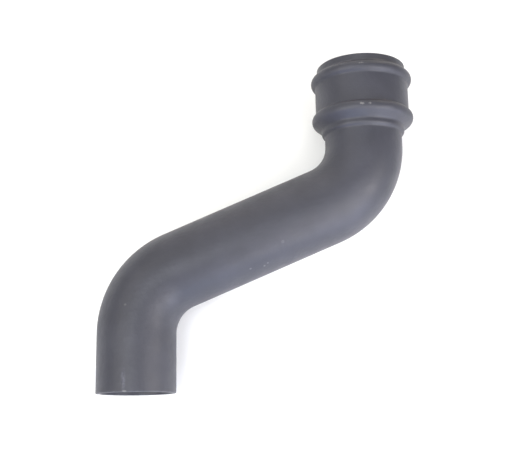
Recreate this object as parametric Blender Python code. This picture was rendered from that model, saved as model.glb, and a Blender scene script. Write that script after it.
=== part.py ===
"""Offset bend (swan neck) for a round downpipe, cast in one piece.

A beaded socket takes the pipe above. Two equal bends and a sloping middle carry the water
sideways to a plain spigot, which stands in the next socket below.

Metres, +Z up. The casting lies on a floor at Z = 0 as it comes to rest there, on the crests of
its beads and on the spigot's side. The socket's mouth faces +Y, and the origin is under the
middle of the casting.
"""

from math import acos, asin, cos, pi, radians, sin, tan, tau

import bmesh
import bpy

# Pipe and bends
PIPE_DIAMETER = 0.0762  # outside: a 3 inch pipe
PIPE_WALL = 0.004
PROJECTION = 0.225  # sideways, from the spigot's axis to the socket's
BEND_ANGLE = radians(67.5)  # turn of each bend, which leaves 112.5 degrees inside it
BEND_THROAT = 0.0275  # radius along the inner side of each bend
SPIGOT_LENGTH = 0.057  # straight pipe below the lower bend
NECK_LENGTH = 0.0085  # straight pipe between the upper bend and the socket's collar

# Socket: a drop is measured down from its mouth
SPIGOT_CLEARANCE = 0.003  # gap round a pipe that stands in the socket
SOCKET_WALL = 0.0052
SOCKET_DEPTH = 0.057  # down to the seat that the pipe above stands on
RIM_STEP = 0.0022  # the rim band is set in from the socket's body by this much
BEAD_HEIGHT = 0.004  # of both beads over the socket's body
MOUTH_BEAD_RADIUS = 0.0056
MOUTH_BEAD_DROP = 0.0141
ROOT_BEAD_RADIUS = 0.0062
ROOT_BEAD_DROP = 0.0543
ROOT_FLANK_ANGLE = radians(54)  # the root bead falls to the collar at this angle to the axis
COLLAR_HEIGHT = 0.0028  # over the pipe
COLLAR_WIDTH = 0.0015  # its straight part
COLLAR_ROUNDING = 0.0042

# Small roundings
RIM_FILLET = 0.004  # between the rim band and the mouth bead
BODY_FILLET = 0.0025  # between the mouth bead and the socket's body
CREASE_FILLET = 0.0016  # between the socket's body and the root bead
COLLAR_COVE = 0.0029  # between the root bead and the collar
COLLAR_FOOT = 0.0025  # between the collar and the pipe
SEAT_FILLET = 0.002
EDGE_ROUNDING = 0.0008

# Facets
SIDES = 48  # round every section
BEND_STEPS = 12
BEAD_STEPS = 4  # from a bead's crest down to one side
FILLET_STEPS = 2
WELD = 0.00001  # points nearer than this are one

# Sizes that follow
PIPE_RADIUS = PIPE_DIAMETER / 2
PIPE_BORE = PIPE_RADIUS - PIPE_WALL
BEND_RADIUS = BEND_THROAT + PIPE_RADIUS
SOCKET_BORE = PIPE_RADIUS + SPIGOT_CLEARANCE
BODY_RADIUS = SOCKET_BORE + SOCKET_WALL
RIM_RADIUS = BODY_RADIUS - RIM_STEP
CREST_RADIUS = BODY_RADIUS + BEAD_HEIGHT
COLLAR_RADIUS = PIPE_RADIUS + COLLAR_HEIGHT


def side_angle(crest, radius, beside, fillet):
    """Angle round a bead at which it meets the fillet into a cylinder of radius beside."""
    return acos(1 - (crest - beside) / (radius + fillet))


def side_reach(crest, radius, beside, fillet):
    """How far along the axis a bead and its fillet reach from the bead's crest."""
    return (radius + fillet) * sin(side_angle(crest, radius, beside, fillet))


# The root bead's lower side is a straight flank between its round and the cove
FLANK_TOP = CREST_RADIUS - ROOT_BEAD_RADIUS * (1 - cos(ROOT_FLANK_ANGLE))
FLANK_FOOT = COLLAR_RADIUS + COLLAR_COVE * (1 - cos(ROOT_FLANK_ANGLE))
FLANK_REACH = (FLANK_TOP - FLANK_FOOT) / tan(ROOT_FLANK_ANGLE)
COLLAR_DROP = ROOT_BEAD_DROP + (ROOT_BEAD_RADIUS + COLLAR_COVE) * sin(ROOT_FLANK_ANGLE) + FLANK_REACH
COLLAR_REACH = side_reach(COLLAR_RADIUS, COLLAR_ROUNDING, PIPE_RADIUS, COLLAR_FOOT)
SOCKET_LENGTH = COLLAR_DROP + COLLAR_WIDTH + COLLAR_REACH

# The casting's own plane has its origin at the centre of the sloping middle. Its x runs from the
# spigot's axis to the socket's, and its y runs up both axes.
MIDDLE_LENGTH = (PROJECTION - 2 * BEND_RADIUS * (1 - cos(BEND_ANGLE))) / sin(BEND_ANGLE)
BEND_END_Y = MIDDLE_LENGTH / 2 * cos(BEND_ANGLE) + BEND_RADIUS * sin(BEND_ANGLE)
MOUTH_Y = BEND_END_Y + NECK_LENGTH + SOCKET_LENGTH
SPIGOT_END_Y = -BEND_END_Y - SPIGOT_LENGTH


def arc(centre_r, centre_y, radius, start, end, steps):
    """Points (r, y) of an arc, with its angles measured from the outward direction."""
    angles = [start + (end - start) * step / steps for step in range(steps + 1)]
    return [(centre_r + radius * cos(angle), centre_y + radius * sin(angle)) for angle in angles]


def bead_side(crest, radius, drop, beside, fillet, up):
    """Half of a bead, from its crest to the cylinder above it (up is 1) or below it (up is -1)."""
    level = MOUTH_Y - drop
    turn = up * side_angle(crest, radius, beside, fillet)
    foot_y = level + up * side_reach(crest, radius, beside, fillet)
    crown = arc(crest - radius, level, radius, 0, turn, BEAD_STEPS)
    foot = arc(beside + fillet, foot_y, fillet, pi + turn, pi, FILLET_STEPS)
    return crown + foot[1:]


def root_flank():
    """Lower half of the root bead, from its crest down to the collar."""
    turn = ROOT_FLANK_ANGLE
    crown_y = MOUTH_Y - ROOT_BEAD_DROP
    cove_y = MOUTH_Y - COLLAR_DROP
    crown = arc(CREST_RADIUS - ROOT_BEAD_RADIUS, crown_y, ROOT_BEAD_RADIUS, 0, -turn, BEAD_STEPS)
    cove = arc(COLLAR_RADIUS + COLLAR_COVE, cove_y, COLLAR_COVE, pi - turn, pi, FILLET_STEPS)
    return crown + cove


def socket_outline():
    """Wall of the socket: up its outside from the upper bend, over the mouth and down its inside."""
    mouth_bead = (CREST_RADIUS, MOUTH_BEAD_RADIUS, MOUTH_BEAD_DROP)
    root_bead = (CREST_RADIUS, ROOT_BEAD_RADIUS, ROOT_BEAD_DROP)
    collar = (COLLAR_RADIUS, COLLAR_ROUNDING, COLLAR_DROP + COLLAR_WIDTH)
    outside = [(PIPE_RADIUS, BEND_END_Y)]
    outside += reversed(bead_side(*collar, PIPE_RADIUS, COLLAR_FOOT, -1))
    outside += reversed(root_flank())
    outside += bead_side(*root_bead, BODY_RADIUS, CREASE_FILLET, 1)[1:]
    outside += reversed(bead_side(*mouth_bead, BODY_RADIUS, BODY_FILLET, -1))
    outside += bead_side(*mouth_bead, RIM_RADIUS, RIM_FILLET, 1)[1:]

    edge = EDGE_ROUNDING
    mouth = arc(RIM_RADIUS - edge, MOUTH_Y - edge, edge, 0, pi / 2, FILLET_STEPS)
    mouth += arc(SOCKET_BORE + edge, MOUTH_Y - edge, edge, pi / 2, pi, FILLET_STEPS)

    seat_y = MOUTH_Y - SOCKET_DEPTH
    seat = arc(SOCKET_BORE - SEAT_FILLET, seat_y + SEAT_FILLET, SEAT_FILLET, 0, -pi / 2, FILLET_STEPS)
    seat += arc(PIPE_BORE + edge, seat_y - edge, edge, pi / 2, pi, FILLET_STEPS)
    return outside + mouth + seat + [(PIPE_BORE, BEND_END_Y)]


def spigot_outline():
    """Wall of the spigot: down its outside from the lower bend, round the end and up its inside."""
    edge = EDGE_ROUNDING
    end = arc(PIPE_RADIUS - edge, SPIGOT_END_Y + edge, edge, 0, -pi / 2, FILLET_STEPS)
    end += arc(PIPE_BORE + edge, SPIGOT_END_Y + edge, edge, -pi / 2, -pi, FILLET_STEPS)
    return [(PIPE_RADIUS, -BEND_END_Y)] + end + [(PIPE_BORE, -BEND_END_Y)]


def weld(shell):
    bmesh.ops.remove_doubles(shell, verts=shell.verts, dist=WELD)


def turn_end(shell, axis_x, outline):
    """Turns an outline round an axis parallel to y, and returns the open rings of edges that it leaves."""
    before = set(shell.edges)
    points = [shell.verts.new((axis_x + r, y, 0)) for r, y in outline]
    lines = [shell.edges.new(pair) for pair in zip(points, points[1:])]
    bmesh.ops.spin(
        shell,
        geom=points + lines,
        cent=(axis_x, 0, 0),
        axis=(0, 1, 0),
        angle=tau,
        steps=SIDES,
    )
    weld(shell)
    return [edge for edge in shell.edges if edge.is_boundary and edge not in before]


def spin_rings(shell, rings, centre, angle):
    """Carries the open rings round a bend, and returns them at its far end."""
    spun = bmesh.ops.spin(
        shell, geom=rings, cent=(*centre, 0), axis=(0, 0, 1), angle=angle, steps=BEND_STEPS
    )
    return [part for part in spun["geom_last"] if isinstance(part, bmesh.types.BMEdge)]


def extrude_rings(shell, rings, move):
    extruded = bmesh.ops.extrude_edge_only(shell, edges=rings)["geom"]
    points = [part for part in extruded if isinstance(part, bmesh.types.BMVert)]
    bmesh.ops.translate(shell, verts=points, vec=move)
    return [part for part in extruded if isinstance(part, bmesh.types.BMEdge) and part.is_boundary]


def casting_mesh():
    """The wall's outside and inside as one closed skin, swept down from the socket to the spigot."""
    shell = bmesh.new()
    half = PROJECTION / 2
    slope = (-MIDDLE_LENGTH * sin(BEND_ANGLE), -MIDDLE_LENGTH * cos(BEND_ANGLE), 0)

    rings = turn_end(shell, half, socket_outline())
    rings = spin_rings(shell, rings, (half - BEND_RADIUS, BEND_END_Y), -BEND_ANGLE)
    rings = extrude_rings(shell, rings, slope)
    spin_rings(shell, rings, (BEND_RADIUS - half, -BEND_END_Y), BEND_ANGLE)
    turn_end(shell, -half, spigot_outline())
    weld(shell)
    bmesh.ops.recalc_face_normals(shell, faces=shell.faces)

    mesh = bpy.data.meshes.new("offset_bend")
    shell.to_mesh(mesh)
    shell.free()
    mesh.shade_smooth()
    mesh.set_sharp_from_angle(angle=radians(50))
    return mesh


def painted_casting():
    """Dark grey paint, semi-matt, over the cast skin."""
    material = bpy.data.materials.new("painted_casting")
    material.use_nodes = True
    shader = material.node_tree.nodes["Principled BSDF"]
    shader.inputs["Base Color"].default_value = (0.105, 0.11, 0.122, 1)
    shader.inputs["Roughness"].default_value = 0.5
    shader.inputs["Metallic"].default_value = 0
    return material


def lay_down(casting):
    """Tips the casting's plane until the beads and the spigot both meet the floor, and centres it."""
    casting.rotation_euler = (0, -asin((CREST_RADIUS - PIPE_RADIUS) / PROJECTION), 0)
    casting.location = (
        (PIPE_RADIUS - CREST_RADIUS) / 2,
        -(MOUTH_Y + SPIGOT_END_Y) / 2,
        (PIPE_RADIUS + CREST_RADIUS) / 2,
    )


def main():
    for old in list(bpy.data.objects):
        bpy.data.objects.remove(old)
    parts = bpy.data.collections.new("downpipe_offset_bend")
    bpy.context.scene.collection.children.link(parts)

    mesh = casting_mesh()
    mesh.materials.append(painted_casting())
    casting = bpy.data.objects.new("offset_bend", mesh)
    parts.objects.link(casting)
    lay_down(casting)


main()
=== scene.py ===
from math import acos, asin, atan2, cos, degrees, pi, radians, sin, tan

import bpy
from mathutils import Matrix, Vector


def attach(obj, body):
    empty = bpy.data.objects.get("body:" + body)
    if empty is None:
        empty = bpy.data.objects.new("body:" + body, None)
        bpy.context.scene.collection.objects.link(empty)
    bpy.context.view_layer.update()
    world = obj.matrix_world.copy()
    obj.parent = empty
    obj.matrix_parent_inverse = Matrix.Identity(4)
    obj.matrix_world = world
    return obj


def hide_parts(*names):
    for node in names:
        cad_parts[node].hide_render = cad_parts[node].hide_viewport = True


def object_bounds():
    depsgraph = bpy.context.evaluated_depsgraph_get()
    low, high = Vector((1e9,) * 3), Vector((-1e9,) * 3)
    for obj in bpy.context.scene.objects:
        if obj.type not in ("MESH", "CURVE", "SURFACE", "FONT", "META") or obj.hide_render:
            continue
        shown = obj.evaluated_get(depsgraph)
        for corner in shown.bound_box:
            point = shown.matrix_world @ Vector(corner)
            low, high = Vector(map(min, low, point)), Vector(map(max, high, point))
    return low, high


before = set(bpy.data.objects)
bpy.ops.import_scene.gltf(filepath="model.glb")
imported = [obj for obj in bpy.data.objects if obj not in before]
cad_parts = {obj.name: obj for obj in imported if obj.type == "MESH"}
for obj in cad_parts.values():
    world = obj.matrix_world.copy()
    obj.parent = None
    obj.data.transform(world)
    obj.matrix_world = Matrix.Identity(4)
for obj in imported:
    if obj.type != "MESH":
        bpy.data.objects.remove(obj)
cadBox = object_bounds()
corners = [round(side, 4) for corner in cadBox for side in corner]
print("frame loaded with", len(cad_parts), "node, box", corners)

# The casting, in metres. A drop is measured down from the socket's mouth.
casting = {
    "pipeRadius": 0.0381,
    "pipeWall": 0.004,
    "projection": 0.225,  # sideways, from the spigot's axis to the socket's
    "bendAngle": radians(67.5),
    "throatRadius": 0.0275,  # along the inner side of each bend
    "spigotLength": 0.057,
    "neckLength": 0.0085,
    "socketBore": 0.0411,
    "socketDepth": 0.057,
    "seatFillet": 0.002,
    "bodyRadius": 0.0463,
    "rimRadius": 0.0441,
    "crestRadius": 0.0503,  # of both beads
    "mouthBead": {"radius": 0.0056, "drop": 0.0141, "filletAbove": 0.004, "filletBelow": 0.0025},
    "rootBead": {"radius": 0.0062, "drop": 0.0543, "filletAbove": 0.0016, "flank": radians(54)},
    "collar": {"crest": 0.0409, "width": 0.0015, "rounding": 0.0042, "cove": 0.0029, "foot": 0.0025},
    "edge": 0.0008,  # rounding of the spigot's end and of the mouth
    "sides": 176,
    "bendSteps": 44,
    "spigotRings": 20,
    "arcSteps": 7,  # along half a bead
    "edgeSteps": 3,  # along the small roundings
    "weld": 0.00001,
    "smoothBelow": radians(40),
}

half = casting["projection"] / 2
bendRadius = casting["throatRadius"] + casting["pipeRadius"]
bore = casting["pipeRadius"] - casting["pipeWall"]
turn = casting["bendAngle"]
middleLength = (casting["projection"] - 2 * bendRadius * (1 - cos(turn))) / sin(turn)
bendEnd = middleLength / 2 * cos(turn) + bendRadius * sin(turn)


def arcPoints(centreRadius, centreDrop, radius, start, end, steps):
    # points (radius, drop) of an arc, with its angles from the outward direction towards the mouth
    angles = [start + (end - start) * step / steps for step in range(steps + 1)]
    return [(centreRadius + radius * cos(a), centreDrop - radius * sin(a)) for a in angles]


def beadSide(crest, radius, drop, beside, fillet, up):
    # half of a bead, from its crest to the cylinder above it (up is 1) or below it (up is -1)
    angle = acos(1 - (crest - beside) / (radius + fillet))
    footDrop = drop - up * (radius + fillet) * sin(angle)
    crown = arcPoints(crest - radius, drop, radius, 0, up * angle, casting["arcSteps"])
    foot = arcPoints(beside + fillet, footDrop, fillet, pi + up * angle, pi, casting["edgeSteps"])
    return crown + foot[1:]


def socketOutside():
    # up the outside of the socket, from the neck to the rim band
    crest, body, rim = casting["crestRadius"], casting["bodyRadius"], casting["rimRadius"]
    root, upper, collar = casting["rootBead"], casting["mouthBead"], casting["collar"]
    flank = root["flank"]
    crown = arcPoints(crest - root["radius"], root["drop"], root["radius"], 0, -flank, casting["arcSteps"])
    coveRadius = collar["crest"] + collar["cove"]
    fall = (crown[-1][0] - (coveRadius - collar["cove"] * cos(flank))) / tan(flank)
    coveDrop = crown[-1][1] + fall + collar["cove"] * sin(flank)
    cove = arcPoints(coveRadius, coveDrop, collar["cove"], pi - flank, pi, casting["edgeSteps"])
    low = coveDrop + collar["width"]
    ring = beadSide(collar["crest"], collar["rounding"], low, casting["pipeRadius"], collar["foot"], -1)
    points = ring[::-1] + (crown + cove)[::-1]
    points += beadSide(crest, root["radius"], root["drop"], body, root["filletAbove"], 1)[1:]
    points += beadSide(crest, upper["radius"], upper["drop"], body, upper["filletBelow"], -1)[::-1]
    points += beadSide(crest, upper["radius"], upper["drop"], rim, upper["filletAbove"], 1)[1:]
    return points


def socketInside():
    # over the mouth, down to the seat and over its edge into the bore
    edge, seat = casting["edge"], casting["seatFillet"]
    depth, steps = casting["socketDepth"], casting["edgeSteps"]
    points = arcPoints(casting["rimRadius"] - edge, edge, edge, 0, pi / 2, steps)
    points += arcPoints(casting["socketBore"] + edge, edge, edge, pi / 2, pi, steps)
    points += arcPoints(casting["socketBore"] - seat, depth - seat, seat, 0, -pi / 2, steps)
    points += arcPoints(bore + edge, depth + edge, edge, pi / 2, pi, steps)
    return points


outside = socketOutside()
mouth = bendEnd + casting["neckLength"] + outside[0][1]
spigotEnd = -bendEnd - casting["spigotLength"]
tilt = asin((casting["crestRadius"] - casting["pipeRadius"]) / casting["projection"])
plane = Matrix.Translation((
    (casting["pipeRadius"] - casting["crestRadius"]) / 2,
    -(mouth + spigotEnd) / 2,
    (casting["pipeRadius"] + casting["crestRadius"]) / 2,
)) @ Matrix.Rotation(-tilt, 4, "Y")


def moveRing(step, centre, scale=1.0):
    # extrudes the selected ring by a step, and resizes it about its new centre
    bpy.ops.mesh.extrude_region_move(TRANSFORM_OT_translate={"value": step})
    if scale != 1.0:
        bpy.ops.transform.resize(value=(scale, 1, scale), center_override=centre)


def followPoints(points, axisX, radius, y):
    # carries the selected ring through the outline's points (radius, height)
    for nextRadius, nextY in points:
        moveRing((0, nextY - y, 0), (axisX, nextY, 0), nextRadius / radius)
        radius, y = nextRadius, nextY


def turnBend(centreX, centreY, angle):
    # carries the selected ring round a bend, anticlockwise for a positive angle: spin turns the other way
    centre = (centreX, centreY, 0)
    bpy.ops.mesh.spin(steps=casting["bendSteps"], angle=-angle, center=centre, axis=(0, 0, 1))


# small breaks in the edge of the spigot's end, on its side away from the socket and below that
nicks = {
    "angles": (-202, -130),  # the part of the spigot that is refined for them, in degrees from +X
    "height": 0.0040,
    "cuts": 4,
    # angle, depth, reach
    "places": (
        (-197, 0.0008, 0.0016), (-192, 0.0010, 0.0018), (-176, 0.0008, 0.0016), (-172, 0.0011, 0.0020),
        (-167.5, 0.0011, 0.0020), (-163, 0.0009, 0.0017), (-154, 0.0007, 0.0014), (-150, 0.0006, 0.0013),
        (-138, 0.0005, 0.0014),
    ),
}

# a run of paint down the spigot
run = {
    "angles": (90, 105),
    "height": 0.0245,
    "cuts": 5,
    # distance from the end, angle, height, reach
    "places": (
        (0.0212, 97.0, 0.00012, 0.0012), (0.0190, 97.0, 0.00018, 0.0013), (0.0172, 97.1, 0.00026, 0.0014),
        (0.0157, 96.8, 0.00026, 0.0014), (0.0140, 98.1, 0.00010, 0.0013), (0.0122, 98.0, 0.00010, 0.0014),
        (0.0105, 98.6, 0.00014, 0.0015), (0.0090, 98.9, 0.00018, 0.0014), (0.0074, 98.7, 0.00034, 0.0018),
        (0.0058, 97.8, 0.00042, 0.0018), (0.0042, 98.0, 0.00038, 0.0016),
    ),
}


def outwardAt(angle):
    # away from the axis of the spigot or the socket, before the casting is laid down
    return Vector((cos(radians(angle)), 0, sin(radians(angle))))


def besideSpigot(distance, angle):
    # a place on the spigot before the casting is laid down
    return Vector((-half, spigotEnd + distance, 0)) + outwardAt(angle) * casting["pipeRadius"]


def refineSpigot(piece, wear):
    # subdivides the outer faces near the spigot's end, between two angles
    bpy.ops.object.mode_set(mode="EDIT")
    bpy.ops.mesh.select_mode(type="FACE")
    bpy.ops.mesh.select_all(action="DESELECT")
    bpy.ops.object.mode_set(mode="OBJECT")
    first, last = wear["angles"]
    for face in piece.data.polygons:
        x, z = face.center.x + half, face.center.z
        angle = degrees(atan2(z, x))
        outer = x * x + z * z > (casting["pipeRadius"] - casting["edge"]) ** 2
        between = first < angle < last or first < angle - 360 < last
        low = face.center.x < 0 and face.center.y < spigotEnd + wear["height"]
        face.select = outer and between and low
    bpy.ops.object.mode_set(mode="EDIT")
    bpy.ops.mesh.subdivide(number_cuts=wear["cuts"])
    bpy.ops.object.mode_set(mode="OBJECT")


def pushVertices(piece, place, move, reach):
    # moves the vertex nearest to a place, and the ones within reach of it less and less
    bpy.ops.object.mode_set(mode="EDIT")
    bpy.ops.mesh.select_mode(type="VERT")
    bpy.ops.mesh.select_all(action="DESELECT")
    bpy.ops.object.mode_set(mode="OBJECT")
    nearest = min(piece.data.vertices, key=lambda vertex: (vertex.co - place).length_squared)
    nearest.select = True
    bpy.ops.object.mode_set(mode="EDIT")
    bpy.ops.transform.translate(
        value=move,
        use_proportional_edit=True,
        proportional_edit_falloff="SMOOTH",
        proportional_size=reach,
    )
    bpy.ops.object.mode_set(mode="OBJECT")


def wearSpigot(piece):
    # breaks go up from the end, and the run of paint stands out from the side
    refineSpigot(piece, nicks)
    for angle, depth, reach in nicks["places"]:
        pushVertices(piece, besideSpigot(0, angle), (0, depth, 0), reach)
    refineSpigot(piece, run)
    for distance, angle, height, reach in run["places"]:
        pushVertices(piece, besideSpigot(distance, angle), outwardAt(angle) * height, reach)
    # the faces beside the refined ones have extra corners on their sides, so they are split
    bpy.ops.object.mode_set(mode="EDIT")
    bpy.ops.mesh.select_mode(type="FACE")
    bpy.ops.mesh.select_all(action="DESELECT")
    bpy.ops.mesh.select_face_by_sides(number=4, type="GREATER")
    bpy.ops.mesh.quads_convert_to_tris(ngon_method="BEAUTY")
    bpy.ops.object.mode_set(mode="OBJECT")


def buildCasting():
    radius, edge = casting["pipeRadius"], casting["edge"]
    slope = Vector((sin(turn), cos(turn), 0)) * middleLength
    bpy.ops.object.select_all(action="DESELECT")
    bpy.ops.mesh.primitive_circle_add(
        vertices=casting["sides"],
        radius=radius,
        location=(-half, spigotEnd + edge, 0),
        rotation=(pi / 2, 0, 0),
    )
    piece = bpy.context.object
    piece.name = "cast_offset_bend"
    bpy.ops.object.transform_apply(location=True, rotation=True)
    bpy.ops.object.mode_set(mode="EDIT")
    bpy.ops.mesh.select_all(action="SELECT")

    # outside, from the spigot's end up to the rim
    rings = casting["spigotRings"]
    heights = [-bendEnd - casting["spigotLength"] * (1 - ring / rings) for ring in range(1, rings + 1)]
    followPoints([(radius, height) for height in heights], -half, radius, spigotEnd + edge)
    turnBend(bendRadius - half, -bendEnd, -turn)
    moveRing(slope, (0, 0, 0))
    turnBend(half - bendRadius, bendEnd, turn)
    followPoints([(r, mouth - drop) for r, drop in outside + socketInside()], half, radius, bendEnd)
    # inside, back down through both bends
    seatEdge = mouth - casting["socketDepth"] - edge
    followPoints([(bore, bendEnd)], half, bore, seatEdge)
    turnBend(half - bendRadius, bendEnd, -turn)
    moveRing(-slope, (0, 0, 0))
    turnBend(bendRadius - half, -bendEnd, turn)
    followPoints([(bore, spigotEnd + edge)], -half, bore, -bendEnd)
    ending = arcPoints(bore + edge, 0, edge, pi, 3 * pi / 2, casting["edgeSteps"])
    ending += arcPoints(radius - edge, 0, edge, -pi / 2, 0, casting["edgeSteps"])
    followPoints([(r, spigotEnd + edge - drop) for r, drop in ending[1:]], -half, bore, spigotEnd + edge)

    bpy.ops.mesh.select_all(action="SELECT")
    bpy.ops.mesh.remove_doubles(threshold=casting["weld"])
    bpy.ops.mesh.normals_make_consistent(inside=False)
    bpy.ops.object.mode_set(mode="OBJECT")
    wearSpigot(piece)
    piece.matrix_world = plane
    bpy.ops.object.transform_apply(location=True, rotation=True)
    bpy.ops.object.shade_smooth_by_angle(angle=casting["smoothBelow"])
    return piece


bend = buildCasting()
print("casting modelled,", len(bend.data.polygons), "faces")

paint = {
    "colour": (0.0385, 0.0393, 0.0525),
    # the same pale colour also paints a highlight along the spigot's end
    "wornAndHighlight": (0.15, 0.15, 0.158),  # pale undercoat where the paint is chipped or rubbed
    # a pattern is noise whose spread is stretched over a range
    "mottle": {"scale": 38, "detail": 3, "spread": (0.3, 0.7), "range": (0.9, 1.1)},
    "roughness": {"scale": 70, "detail": 2, "spread": (0.3, 0.7), "range": (0.44, 0.54)},
    # scale, detail and height of the casting's unevenness, its sand skin and the paint's own fine skin
    "skin": ((42, 2, 0.00030), (260, 3, 0.00024), (1300, 1, 0.000018)),
    # rubbed places above the spigot's end, paler there also as a painted highlight along the edge
    "edge": {
        "from": 0.0002,
        "to": 0.0012,
        "strength": 0.35,
        "patches": {"scale": 220, "detail": 2, "spread": (0.38, 0.6), "range": (0.25, 1.0)},
    },
    "wobble": {"scale": 900, "detail": 1, "size": 0.0012},  # makes the chips' outlines uneven
    "chipFade": (1.1, 0.7),  # a chip goes from nothing to full between these shares of its radius
    "chipDepth": 0.00009,
    # painted highlight over the run on the spigot, paler than the paint around it: its middle from the
    # end, half its length, half its width
    "runHighlight": {
        "angle": 98.2,
        "middle": 0.0110,
        "length": 0.0130,
        "width": 0.0030,
        "blotches": {"scale": 420, "detail": 1, "spread": (0.4, 0.6), "range": (0.5, 1.25)},
    },
}

# Chips: place along a part, angle round it, radius, how bare. The place is the drop from the mouth on the
# socket, the distance from the end on the spigot, and on the sloping middle the distance from its centre,
# towards the socket.
chips = {
    "socket": (
        (0.0127, 95, 0.0009, 0.6), (0.0126, 93, 0.0009, 0.7), (0.0127, 91.4, 0.0007, 0.6),
        (0.0538, 95.3, 0.0012, 0.95), (0.0541, 93.6, 0.0011, 0.95), (0.0541, 92.5, 0.0008, 0.7),
        (0.0541, 85.3, 0.0012, 0.75), (0.0540, 87.0, 0.0007, 0.4),
    ),
    "spigot": (
        (0.0007, 98, 0.0010, 0.75), (0.0006, 96.2, 0.0012, 1.0), (0.0007, 94.9, 0.0010, 0.8),
        (0.0072, 98.2, 0.0012, 0.16), (0.0056, 99.2, 0.0006, 0.4), (0.0047, 97.6, 0.0012, 0.2),
        (0.0799, 97.3, 0.0014, 0.3),
    ),
    "middle": (
        (-0.0138, 54.7, 0.0012, 0.5), (0.0033, 58, 0.0010, 0.6), (-0.0006, 60.7, 0.0011, 0.55),
        (0.0240, 34.2, 0.0018, 0.22), (-0.0300, 78, 0.0008, 0.3),
    ),
}


def onSpigot(distance, angle):
    return plane @ besideSpigot(distance, angle)


def onSocket(drop, angle):
    return plane @ (Vector((half, mouth - drop, 0)) + outwardAt(angle) * casting["crestRadius"])


def onMiddle(distance, angle):
    # the angle is from straight up, towards the lower side
    along, across = Vector((sin(turn), cos(turn), 0)), Vector((cos(turn), -sin(turn), 0))
    outward = across * sin(radians(angle)) + Vector((0, 0, cos(radians(angle))))
    return plane @ (along * distance + outward * casting["pipeRadius"])


def paintedCasting():
    material = bpy.data.materials.new("paintedCasting")
    material.use_nodes = True
    tree = material.node_tree
    shader = tree.nodes["Principled BSDF"]

    def make(kind, inputs, **settings):
        node = tree.nodes.new(kind)
        for name, value in settings.items():
            setattr(node, name, value)
        for name, value in inputs.items():
            if isinstance(value, bpy.types.NodeSocket):
                tree.links.new(value, node.inputs[name])
            else:
                node.inputs[name].default_value = value
        return node

    def calculate(operation, first, second):
        return make("ShaderNodeMath", {0: first, 1: second}, operation=operation).outputs["Value"]

    def ramp(value, low, high, start, end):
        inputs = {"Value": value, "From Min": low, "From Max": high, "To Min": start, "To Max": end}
        return make("ShaderNodeMapRange", inputs).outputs["Result"]

    place = make("ShaderNodeTexCoord", {}).outputs["Object"]

    def noise(scale, detail, output="Fac"):
        inputs = {"Vector": place, "Scale": scale, "Detail": detail}
        return make("ShaderNodeTexNoise", inputs).outputs[output]

    def pattern(values):
        return ramp(noise(values["scale"], values["detail"]), *values["spread"], *values["range"])

    # chips, with uneven outlines
    wobble = paint["wobble"]
    inputs = {0: noise(wobble["scale"], wobble["detail"], "Color"), 1: (0.5, 0.5, 0.5)}
    centred = make("ShaderNodeVectorMath", inputs, operation="SUBTRACT").outputs[0]
    shift = make("ShaderNodeVectorMath", {0: centred, "Scale": wobble["size"]}, operation="SCALE")
    uneven = make("ShaderNodeVectorMath", {0: place, 1: shift.outputs[0]}, operation="ADD").outputs[0]
    outer, inner = paint["chipFade"]
    bareAndHighlight = 0.0
    for part, find in (("socket", onSocket), ("spigot", onSpigot), ("middle", onMiddle)):
        for along, angle, radius, strength in chips[part]:
            inputs = {0: uneven, 1: find(along, angle)}
            distance = make("ShaderNodeVectorMath", inputs, operation="DISTANCE").outputs["Value"]
            chip = ramp(distance, radius * outer, radius * inner, 0.0, strength)
            bareAndHighlight = calculate("MAXIMUM", bareAndHighlight, chip)

    # rubbed edge of the spigot's end, paler in patches, partly a painted highlight along the edge
    edge = paint["edge"]
    end = (plane @ Vector((0, spigotEnd, 0))).y
    height = calculate("SUBTRACT", make("ShaderNodeSeparateXYZ", {"Vector": uneven}).outputs["Y"], end)
    fade = ramp(height, edge["to"], edge["from"], 0.0, 1.0)
    rubbedAndHighlight = calculate("MULTIPLY", fade, pattern(edge["patches"]))
    start = ramp(height, 0.0, edge["from"], 0.0, edge["strength"])
    bareAndHighlight = calculate("MAXIMUM", bareAndHighlight, calculate("MULTIPLY", rubbedAndHighlight, start))

    # painted highlight over the run of paint, longer than it is wide
    runHighlight = paint["runHighlight"]
    stretch = runHighlight["width"] / runHighlight["length"]
    centre = onSpigot(runHighlight["middle"], runHighlight["angle"])
    location = (-centre.x, -centre.y * stretch, -centre.z)
    inputs = {"Vector": uneven, "Location": location, "Scale": (1, stretch, 1)}
    local = make("ShaderNodeMapping", inputs).outputs["Vector"]
    distance = make("ShaderNodeVectorMath", {0: local}, operation="LENGTH").outputs["Value"]
    runHighlightMask = ramp(distance, runHighlight["width"], 0.0, 0.0, 1.0)

    # colour: the paint's own tone, a painted highlight over the run a little paler, and chips and the
    # spigot's end, rubbed and with a painted highlight, paler still
    runHighlightTone = calculate("MULTIPLY", runHighlightMask, pattern(runHighlight["blotches"]))
    tone = calculate("ADD", pattern(paint["mottle"]), runHighlightTone)
    painted = make("ShaderNodeVectorMath", {0: paint["colour"], "Scale": tone}, operation="SCALE")
    inputs = {"Factor": bareAndHighlight, "A": painted.outputs[0], "B": (*paint["wornAndHighlight"], 1)}
    colour = make("ShaderNodeMix", inputs, data_type="RGBA")
    tree.links.new(colour.outputs["Result"], shader.inputs["Base Color"])
    tree.links.new(pattern(paint["roughness"]), shader.inputs["Roughness"])

    # relief, in metres
    relief = calculate("MULTIPLY", bareAndHighlight, -paint["chipDepth"])
    for scale, detail, height in paint["skin"]:
        relief = calculate("ADD", relief, calculate("MULTIPLY", noise(scale, detail), height))
    bump = make("ShaderNodeBump", {"Height": relief, "Strength": 1.0, "Distance": 1.0})
    tree.links.new(bump.outputs["Normal"], shader.inputs["Normal"])
    return material


bend.data.materials.append(paintedCasting())
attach(bend, "root")
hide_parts("offset_bend")
print("paint applied")

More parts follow.
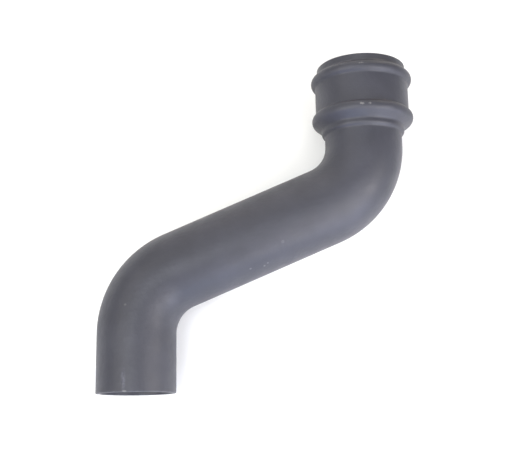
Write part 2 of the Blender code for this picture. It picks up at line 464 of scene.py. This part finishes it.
# Floor, lights and camera
studio = {
    "floorSize": 6,
    "floorColour": (0.95, 0.95, 0.95),
    "floorRoughness": 0.8,
    "roomLight": 0.5,
    "lampTarget": (0, 0, 0.05),
    # The lamps' directions, powers and colours came out of a fit to the photo's light by another script.
    # azimuth from +X and elevation in degrees, distance from the target, size, power, colour
    "lamps": (
        (315, 14, 1.5, 0.55, 8.38, (0.68, 0.75, 1.00)),
        (240, 14, 1.5, 0.55, 5.24, (0.67, 0.70, 1.00)),
        (270, 8, 1.05, 0.40, 3.01, (0.50, 0.68, 1.00)),
        (305, 31, 0.5, 0.22, 0.88, (1.00, 0.95, 0.89)),
        (345, 31, 0.5, 0.22, 0.88, (1.00, 0.95, 0.90)),
        (325, 58, 0.5, 0.22, 0.61, (1.00, 0.98, 0.98)),
        (105, 14, 1.5, 0.55, 2.64, (1.00, 0.91, 0.88)),
        (60, 14, 1.5, 0.55, 2.95, (1.00, 0.87, 0.71)),
        (90, 42, 1.5, 0.55, 3.42, (1.00, 0.99, 0.98)),
        (150, 42, 1.5, 0.55, 2.36, (1.00, 0.94, 0.78)),
        (210, 42, 1.5, 0.55, 9.00, (1.00, 0.98, 0.90)),
        (210, 72, 1.5, 0.55, 6.97, (0.94, 0.98, 1.00)),
    ),
    # fitted to the photo together with the casting's outline
    "camera": {
        "place": (-0.01204, -0.20174, 0.91083),
        "turn": (12.9784, -0.426, -0.9693),
        "lens": 63.77,
    },
}


def addFloor():
    bpy.ops.mesh.primitive_plane_add(size=studio["floorSize"], location=(0, 0, 0))
    floor = bpy.context.object
    floor.name = "studio_floor"
    material = bpy.data.materials.new("paleFloor")
    material.use_nodes = True
    shader = material.node_tree.nodes["Principled BSDF"]
    shader.inputs["Base Color"].default_value = (*studio["floorColour"], 1)
    shader.inputs["Roughness"].default_value = studio["floorRoughness"]
    floor.data.materials.append(material)


def addLamps():
    target = Vector(studio["lampTarget"])
    for number, (azimuth, elevation, distance, size, power, colour) in enumerate(studio["lamps"]):
        light = bpy.data.lights.new(f"lamp{number}", "AREA")
        light.shape = "DISK"
        light.size = size
        light.energy = power
        light.color = colour
        lamp = bpy.data.objects.new(f"lamp{number}", light)
        bpy.context.scene.collection.objects.link(lamp)
        around, up = radians(azimuth), radians(elevation)
        outward = Vector((cos(around) * cos(up), sin(around) * cos(up), sin(up)))
        lamp.location = target + outward * distance
        lamp.rotation_euler = (-outward).to_track_quat("-Z", "Y").to_euler()
        lamp.visible_camera = False


def addRoom():
    world = bpy.data.worlds.new("room")
    world.use_nodes = True
    background = world.node_tree.nodes["Background"]
    background.inputs["Color"].default_value = (1, 1, 1, 1)
    background.inputs["Strength"].default_value = studio["roomLight"]
    bpy.context.scene.world = world
    bpy.context.scene.view_settings.view_transform = "Standard"


def addCamera():
    view = studio["camera"]
    data = bpy.data.cameras.new("camera")
    data.lens = view["lens"]
    camera = bpy.data.objects.new("camera", data)
    bpy.context.scene.collection.objects.link(camera)
    camera.location = view["place"]
    camera.rotation_euler = [radians(angle) for angle in view["turn"]]
    bpy.context.scene.camera = camera


addFloor()
addRoom()
addLamps()
addCamera()
print("studio ready")
